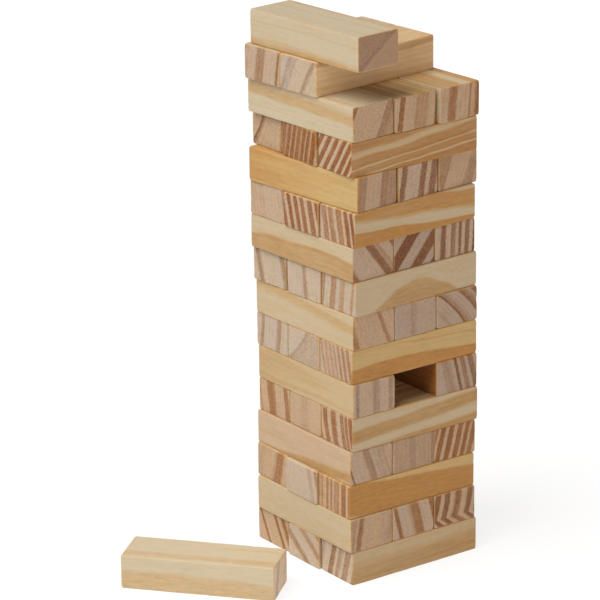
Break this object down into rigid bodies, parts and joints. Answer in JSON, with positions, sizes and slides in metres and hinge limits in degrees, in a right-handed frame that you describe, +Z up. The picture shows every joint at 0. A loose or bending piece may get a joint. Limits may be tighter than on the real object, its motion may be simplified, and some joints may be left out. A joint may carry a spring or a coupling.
{
  "type": "tumbling tower game",
  "caption": "Wooden stacking-tower game part way through play: plain pine blocks laid crosswise in courses, drawn out by hand and restacked on top, with a drawn block lying beside it.",
  "frame": {"origin": "centre of the tower's foot, on the surface it stands on", "axes": "+Z up; blocks of the odd courses lie along Y, blocks of the even courses along X; the loose block lies towards -Y"},
  "size_m": [0.0853, 0.1649, 0.2672],
  "materials": {
    "pine_cream": "planed and sanded pine, unvarnished, pale",
    "pine_honey": "planed and sanded pine, unvarnished, honey-coloured",
    "pine_tan": "planed and sanded pine, unvarnished, tan with brown rings"
  },
  "bodies": {
    "course_01_left": {"course_01_left": "pine_tan"},
    "course_01_middle": {"course_01_middle": "pine_cream"},
    "course_01_right": {"course_01_right": "pine_tan"},
    "course_02_near": {"course_02_near": "pine_cream"},
    "course_02_middle": {"course_02_middle": "pine_cream"},
    "course_02_far": {"course_02_far": "pine_honey"},
    "course_03_left": {"course_03_left": "pine_tan"},
    "course_03_middle": {"course_03_middle": "pine_cream"},
    "course_03_right": {"course_03_right": "pine_honey"},
    "course_04_near": {"course_04_near": "pine_cream"},
    "course_04_middle": {"course_04_middle": "pine_tan"},
    "course_04_far": {"course_04_far": "pine_honey"},
    "course_05_left": {"course_05_left": "pine_honey"},
    "course_05_middle": {"course_05_middle": "pine_tan"},
    "course_05_right": {"course_05_right": "pine_cream"},
    "course_06_near": {"course_06_near": "pine_honey"},
    "course_06_far": {"course_06_far": "pine_cream"},
    "course_07_left": {"course_07_left": "pine_tan"},
    "course_07_middle": {"course_07_middle": "pine_cream"},
    "course_07_right": {"course_07_right": "pine_honey"},
    "course_08_near": {"course_08_near": "pine_honey"},
    "course_08_middle": {"course_08_middle": "pine_tan"},
    "course_08_far": {"course_08_far": "pine_cream"},
    "course_09_left": {"course_09_left": "pine_tan"},
    "course_09_middle": {"course_09_middle": "pine_cream"},
    "course_09_right": {"course_09_right": "pine_honey"},
    "course_10_near": {"course_10_near": "pine_honey"},
    "course_10_middle": {"course_10_middle": "pine_tan"},
    "course_10_far": {"course_10_far": "pine_cream"},
    "course_11_left": {"course_11_left": "pine_cream"},
    "course_11_middle": {"course_11_middle": "pine_honey"},
    "course_11_right": {"course_11_right": "pine_tan"},
    "course_12_near": {"course_12_near": "pine_honey"},
    "course_12_middle": {"course_12_middle": "pine_cream"},
    "course_12_far": {"course_12_far": "pine_tan"},
    "course_13_left": {"course_13_left": "pine_cream"},
    "course_13_middle": {"course_13_middle": "pine_honey"},
    "course_13_right": {"course_13_right": "pine_tan"},
    "course_14_near": {"course_14_near": "pine_cream"},
    "course_14_middle": {"course_14_middle": "pine_cream"},
    "course_14_far": {"course_14_far": "pine_tan"},
    "course_15_left": {"course_15_left": "pine_cream"},
    "course_15_middle": {"course_15_middle": "pine_tan"},
    "course_16_top": {"course_16_top": "pine_cream"},
    "loose_block": {"loose_block": "pine_cream"}
  },
  "joints": [
    {"name": "course_01_left_slide", "type": "slide", "parent": "course_01_middle", "child": "course_01_left", "axis": [0.0314, 0.9995, 0], "range_m": [-0.042, 0.08]},
    {"name": "course_01_right_slide", "type": "slide", "parent": "course_01_middle", "child": "course_01_right", "axis": [0.0314, 0.9995, 0], "range_m": [-0.019, 0.08]},
    {"name": "course_02_near_slide", "type": "slide", "parent": "course_01_middle", "child": "course_02_near", "axis": [0.9996, -0.0279, 0], "range_m": [-0.08, 0.08]},
    {"name": "course_02_middle_slide", "type": "slide", "parent": "course_01_middle", "child": "course_02_middle", "axis": [0.9996, -0.0279, 0], "range_m": [-0.08, 0.08]},
    {"name": "course_02_far_slide", "type": "slide", "parent": "course_01_middle", "child": "course_02_far", "axis": [0.9996, -0.0279, 0], "range_m": [-0.08, 0.08]},
    {"name": "course_03_left_slide", "type": "slide", "parent": "course_01_middle", "child": "course_03_left", "axis": [0.0349, 0.9994, 0], "range_m": [-0.08, 0.08]},
    {"name": "course_03_middle_slide", "type": "slide", "parent": "course_01_middle", "child": "course_03_middle", "axis": [0.0349, 0.9994, 0], "range_m": [-0.08, 0.08]},
    {"name": "course_03_right_slide", "type": "slide", "parent": "course_01_middle", "child": "course_03_right", "axis": [0.0349, 0.9994, 0], "range_m": [-0.08, 0.08]},
    {"name": "course_04_near_slide", "type": "slide", "parent": "course_01_middle", "child": "course_04_near", "axis": [0.9995, -0.0332, 0], "range_m": [-0.08, 0.08]},
    {"name": "course_04_middle_slide", "type": "slide", "parent": "course_01_middle", "child": "course_04_middle", "axis": [0.9995, -0.0332, 0], "range_m": [-0.08, 0.08]},
    {"name": "course_04_far_slide", "type": "slide", "parent": "course_01_middle", "child": "course_04_far", "axis": [0.9995, -0.0332, 0], "range_m": [-0.08, 0.08]},
    {"name": "course_05_left_slide", "type": "slide", "parent": "course_01_middle", "child": "course_05_left", "axis": [0.0332, 0.9995, 0], "range_m": [-0.08, 0.08]},
    {"name": "course_05_middle_slide", "type": "slide", "parent": "course_01_middle", "child": "course_05_middle", "axis": [0.0332, 0.9995, 0], "range_m": [-0.08, 0.08]},
    {"name": "course_05_right_slide", "type": "slide", "parent": "course_01_middle", "child": "course_05_right", "axis": [0.0332, 0.9995, 0], "range_m": [-0.08, 0.08]},
    {"name": "course_06_near_slide", "type": "slide", "parent": "course_01_middle", "child": "course_06_near", "axis": [0.9997, -0.0227, 0], "range_m": [-0.08, 0.08]},
    {"name": "course_06_far_slide", "type": "slide", "parent": "course_01_middle", "child": "course_06_far", "axis": [0.9997, -0.0227, 0], "range_m": [-0.08, 0.08]},
    {"name": "course_07_left_slide", "type": "slide", "parent": "course_01_middle", "child": "course_07_left", "axis": [0.0227, 0.9997, 0], "range_m": [-0.08, 0.08]},
    {"name": "course_07_middle_slide", "type": "slide", "parent": "course_01_middle", "child": "course_07_middle", "axis": [0.0227, 0.9997, 0], "range_m": [-0.08, 0.08]},
    {"name": "course_07_right_slide", "type": "slide", "parent": "course_01_middle", "child": "course_07_right", "axis": [0.0227, 0.9997, 0], "range_m": [-0.08, 0.08]},
    {"name": "course_08_near_slide", "type": "slide", "parent": "course_01_middle", "child": "course_08_near", "axis": [0.9999, -0.0105, 0], "range_m": [-0.08, 0.08]},
    {"name": "course_08_middle_slide", "type": "slide", "parent": "course_01_middle", "child": "course_08_middle", "axis": [0.9999, -0.0105, 0], "range_m": [-0.08, 0.08]},
    {"name": "course_08_far_slide", "type": "slide", "parent": "course_01_middle", "child": "course_08_far", "axis": [0.9999, -0.0105, 0], "range_m": [-0.08, 0.08]},
    {"name": "course_09_left_slide", "type": "slide", "parent": "course_01_middle", "child": "course_09_left", "axis": [-0.0192, 0.9998, 0], "range_m": [-0.08, 0.08]},
    {"name": "course_09_middle_slide", "type": "slide", "parent": "course_01_middle", "child": "course_09_middle", "axis": [-0.0192, 0.9998, 0], "range_m": [-0.08, 0.08]},
    {"name": "course_09_right_slide", "type": "slide", "parent": "course_01_middle", "child": "course_09_right", "axis": [-0.0192, 0.9998, 0], "range_m": [-0.08, 0.08]},
    {"name": "course_10_near_slide", "type": "slide", "parent": "course_01_middle", "child": "course_10_near", "axis": [0.9997, 0.0244, 0], "range_m": [-0.08, 0.08]},
    {"name": "course_10_middle_slide", "type": "slide", "parent": "course_01_middle", "child": "course_10_middle", "axis": [0.9997, 0.0244, 0], "range_m": [-0.08, 0.08]},
    {"name": "course_10_far_slide", "type": "slide", "parent": "course_01_middle", "child": "course_10_far", "axis": [0.9997, 0.0244, 0], "range_m": [-0.08, 0.08]},
    {"name": "course_11_left_slide", "type": "slide", "parent": "course_01_middle", "child": "course_11_left", "axis": [-0.0332, 0.9995, 0], "range_m": [-0.08, 0.08]},
    {"name": "course_11_middle_slide", "type": "slide", "parent": "course_01_middle", "child": "course_11_middle", "axis": [-0.0332, 0.9995, 0], "range_m": [-0.08, 0.08]},
    {"name": "course_11_right_slide", "type": "slide", "parent": "course_01_middle", "child": "course_11_right", "axis": [-0.0332, 0.9995, 0], "range_m": [-0.08, 0.08]},
    {"name": "course_12_near_slide", "type": "slide", "parent": "course_01_middle", "child": "course_12_near", "axis": [0.9973, 0.0732, 0], "range_m": [-0.08, 0.08]},
    {"name": "course_12_middle_slide", "type": "slide", "parent": "course_01_middle", "child": "course_12_middle", "axis": [0.9973, 0.0732, 0], "range_m": [-0.08, 0.08]},
    {"name": "course_12_far_slide", "type": "slide", "parent": "course_01_middle", "child": "course_12_far", "axis": [0.9973, 0.0732, 0], "range_m": [-0.08, 0.08]},
    {"name": "course_13_left_slide", "type": "slide", "parent": "course_01_middle", "child": "course_13_left", "axis": [0.0087, 1, 0], "range_m": [-0.08, 0.08]},
    {"name": "course_13_middle_slide", "type": "slide", "parent": "course_01_middle", "child": "course_13_middle", "axis": [0.0087, 1, 0], "range_m": [-0.08, 0.08]},
    {"name": "course_13_right_slide", "type": "slide", "parent": "course_01_middle", "child": "course_13_right", "axis": [0.0087, 1, 0], "range_m": [-0.08, 0.08]},
    {"name": "course_14_near_slide", "type": "slide", "parent": "course_01_middle", "child": "course_14_near", "axis": [0.9991, 0.0419, 0], "range_m": [-0.08, 0.08]},
    {"name": "course_14_middle_slide", "type": "slide", "parent": "course_01_middle", "child": "course_14_middle", "axis": [0.9991, 0.0419, 0], "range_m": [-0.08, 0.08]},
    {"name": "course_14_far_slide", "type": "slide", "parent": "course_01_middle", "child": "course_14_far", "axis": [0.9991, 0.0419, 0], "range_m": [-0.08, 0.08]},
    {"name": "course_15_left_slide", "type": "slide", "parent": "course_01_middle", "child": "course_15_left", "axis": [-0.068, 0.9977, 0], "range_m": [-0.08, 0.08]},
    {"name": "course_15_middle_slide", "type": "slide", "parent": "course_01_middle", "child": "course_15_middle", "axis": [-0.068, 0.9977, 0], "range_m": [-0.08, 0.08]},
    {"name": "course_16_top_lift", "type": "slide", "parent": "course_01_middle", "child": "course_16_top", "axis": [0, 0, 1], "range_m": [0, 0.075]},
    {"name": "loose_block_lift", "type": "slide", "parent": "course_01_middle", "child": "loose_block", "axis": [0, 0, 1], "range_m": [0, 0.2672]}
  ]
}
